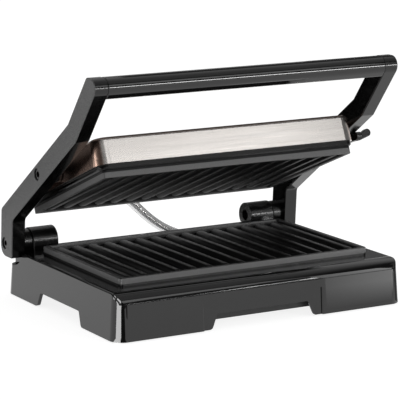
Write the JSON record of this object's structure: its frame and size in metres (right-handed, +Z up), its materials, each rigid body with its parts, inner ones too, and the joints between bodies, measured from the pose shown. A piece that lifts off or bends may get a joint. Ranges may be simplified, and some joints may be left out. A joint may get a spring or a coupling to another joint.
{
  "type": "panini press",
  "caption": "Countertop panini press: ribbed plates, a tilting metal-topped head on dog-legged side arms with a handle bar, a lock lever, a conduit and a moulded black base.",
  "frame": {"origin": "middle of the press's box at rest, on the table under its feet", "axes": "+X to the press's right seen from the front, +Y to the back, +Z up"},
  "size_m": [0.2918, 0.2286, 0.202],
  "materials": {
    "housing_black": "glossy black moulding",
    "cover_black": "matte black moulding",
    "feet_rubber": "matte rubber pads",
    "plate_nonstick": "cast, with a dark satin non-stick coat",
    "steel": "plain steel",
    "heater_sheath": "heat-tinted tube",
    "reflector_sheet": "bright sheet",
    "terminal_white": "heat-proof moulding",
    "hinge_black": "satin black",
    "gland_black": "satin black moulding",
    "conduit_silver": "fine-ribbed flexible metal hose",
    "arm_black": "satin dark moulding",
    "handle_black": "glossy black moulding",
    "lever_black": "satin black moulding",
    "cover_champagne": "satin champagne",
    "bezel_black": "glossy black moulding",
    "lamp_red": "clear red lens",
    "lamp_green": "clear green lens"
  },
  "bodies": {
    "base": {"base_housing": "housing_black", "base_feet": "feet_rubber", "bottom_cover": "cover_black", "bottom_cover_screws": "steel", "lower_grill_plate": "plate_nonstick", "lower_plate_screws": "steel", "lower_heating_element": "heater_sheath", "lower_reflector": "reflector_sheet", "lower_thermostat": "steel", "terminal_block": "terminal_white", "hinge_knuckle_left": "hinge_black", "hinge_knuckle_right": "hinge_black", "cord_gland": "gland_black", "base_conduit_gland": "gland_black", "conduit_lower": "conduit_silver"},
    "arms": {"arm_left": "arm_black", "arm_right": "arm_black", "handle_bar": "handle_black", "hinge_pin_left": "steel", "hinge_pin_right": "steel", "hinge_collar_left": "hinge_black", "hinge_collar_right": "hinge_black", "pivot_bush_left": "gland_black", "pivot_bush_right": "gland_black"},
    "head": {"top_cover": "cover_champagne", "head_bezel": "bezel_black", "upper_grill_plate": "plate_nonstick", "upper_plate_screws": "steel", "upper_heating_element": "heater_sheath", "upper_reflector": "reflector_sheet", "upper_thermostat": "steel", "pivot_bracket_left": "steel", "pivot_bracket_right": "steel", "pivot_screw_left": "steel", "pivot_screw_right": "steel", "power_lamp": "lamp_red", "ready_lamp": "lamp_green", "head_conduit_gland": "gland_black", "conduit_upper": "conduit_silver"},
    "lever": {"lock_lever": "lever_black"}
  },
  "joints": [
    {"name": "arm_hinge", "type": "hinge", "parent": "base", "child": "arms", "pos_m": [-0.0074, 0.07297, 0.045], "axis": [-1, 0, 0], "range_deg": [-34.19, 60], "deforming": ["conduit_lower", "conduit_upper"]},
    {"name": "head_float", "type": "hinge", "parent": "arms", "child": "head", "pos_m": [-0.0074, 0.00929, 0.11305], "axis": [-1, 0, 0], "range_deg": [-22, 12.6]},
    {"name": "lock_lever_turn", "type": "hinge", "parent": "arms", "child": "lever", "pos_m": [0.1331, 0.00929, 0.11305], "axis": [-1, 0, 0], "range_deg": [0, 32]}
  ],
  "couplings": [
    {"joint": "head_float", "follows": "arm_hinge", "ratio": -0.36127}
  ]
}
